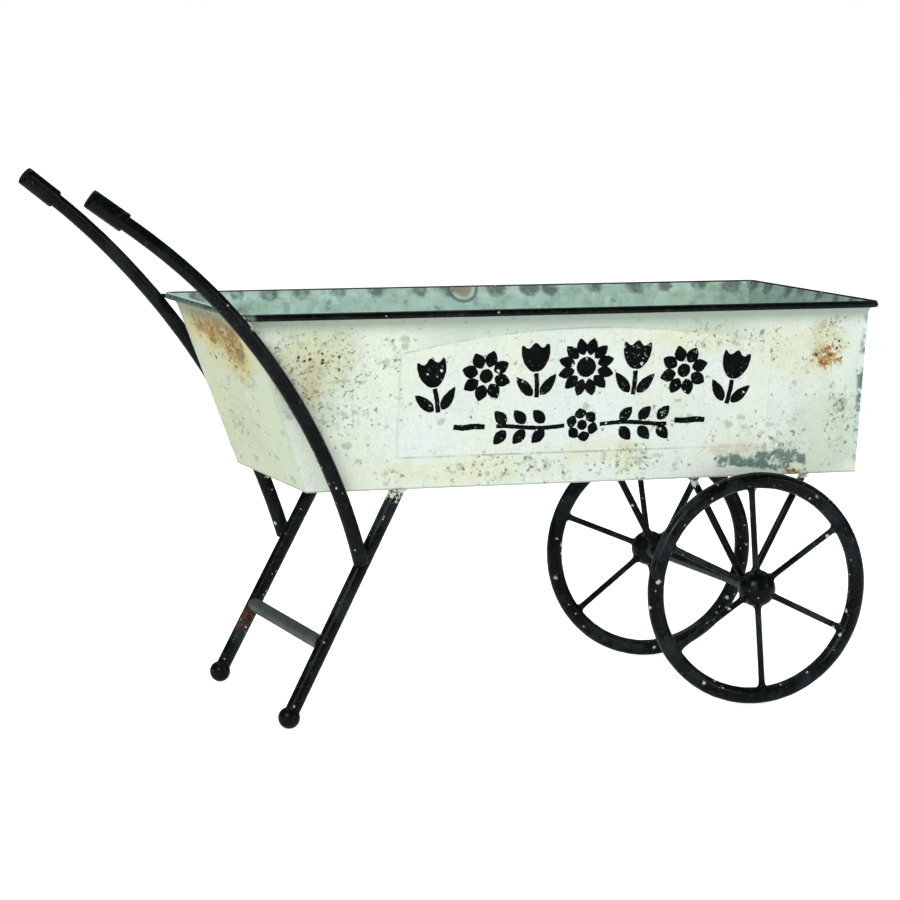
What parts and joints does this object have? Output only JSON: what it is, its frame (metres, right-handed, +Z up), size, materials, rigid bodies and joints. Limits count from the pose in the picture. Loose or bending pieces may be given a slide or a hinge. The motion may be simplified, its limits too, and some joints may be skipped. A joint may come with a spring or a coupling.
{
  "type": "flower cart wheelbarrow",
  "caption": "Small decorative wheelbarrow: a flared sheet-metal trough with a rolled rim on a bent-tube frame with handles, ball feet and spoked wheels on an axle.",
  "frame": {"origin": "on the ground, under the middle of the bounding box", "axes": "+X from the handles to the wheels, +Y to the cart's left, +Z up"},
  "size_m": [0.707, 0.2973, 0.4655],
  "materials": {
    "aged_white_paint": "aged matt paint over galvanised sheet",
    "galvanised_steel": "weathered galvanised",
    "black_frame_paint": "satin black paint",
    "black_grip_paint": "semi-gloss black",
    "bright_steel": "plain steel"
  },
  "bodies": {
    "cart_frame": {"axle_collar_left": "bright_steel", "axle_collar_right": "bright_steel", "axle_rod": "galvanised_steel", "axle_strut_front_left": "black_frame_paint", "axle_strut_front_right": "black_frame_paint", "axle_strut_rear_left": "black_frame_paint", "axle_strut_rear_right": "black_frame_paint", "foot_ball_left": "black_frame_paint", "foot_ball_right": "black_frame_paint", "grip_plug_left": "black_frame_paint", "grip_plug_right": "black_frame_paint", "grip_sleeve_left": "black_grip_paint", "grip_sleeve_right": "black_grip_paint", "handle_tube_left": "black_frame_paint", "handle_tube_right": "black_frame_paint", "leg_crossbar": "galvanised_steel", "leg_tube_left": "black_frame_paint", "leg_tube_right": "black_frame_paint", "push_nut_left": "bright_steel", "push_nut_right": "bright_steel", "rim_rod": "black_frame_paint", "trough_end_handles": "aged_white_paint", "trough_end_wheels": "aged_white_paint", "trough_floor": "galvanised_steel", "trough_side_left": "aged_white_paint", "trough_side_right": "aged_white_paint"},
    "wheel_right": {"hub_cap_right": "black_frame_paint", "hub_shell_right": "black_frame_paint", "spoke_right_1": "black_frame_paint", "spoke_right_2": "black_frame_paint", "spoke_right_3": "black_frame_paint", "spoke_right_4": "black_frame_paint", "spoke_right_5": "black_frame_paint", "spoke_right_6": "black_frame_paint", "wheel_rim_right": "black_frame_paint"},
    "wheel_left": {"hub_cap_left": "black_frame_paint", "hub_shell_left": "black_frame_paint", "spoke_left_1": "black_frame_paint", "spoke_left_2": "black_frame_paint", "spoke_left_3": "black_frame_paint", "spoke_left_4": "black_frame_paint", "spoke_left_5": "black_frame_paint", "spoke_left_6": "black_frame_paint", "wheel_rim_left": "black_frame_paint"}
  },
  "joints": [
    {"name": "wheel_right_spin", "type": "hinge", "parent": "cart_frame", "child": "wheel_right", "pos_m": [0.2446, -0.1286, 0.1024], "axis": [0, 1, 0], "continuous": true},
    {"name": "wheel_left_spin", "type": "hinge", "parent": "cart_frame", "child": "wheel_left", "pos_m": [0.2446, 0.1286, 0.1024], "axis": [0, 1, 0], "continuous": true}
  ]
}
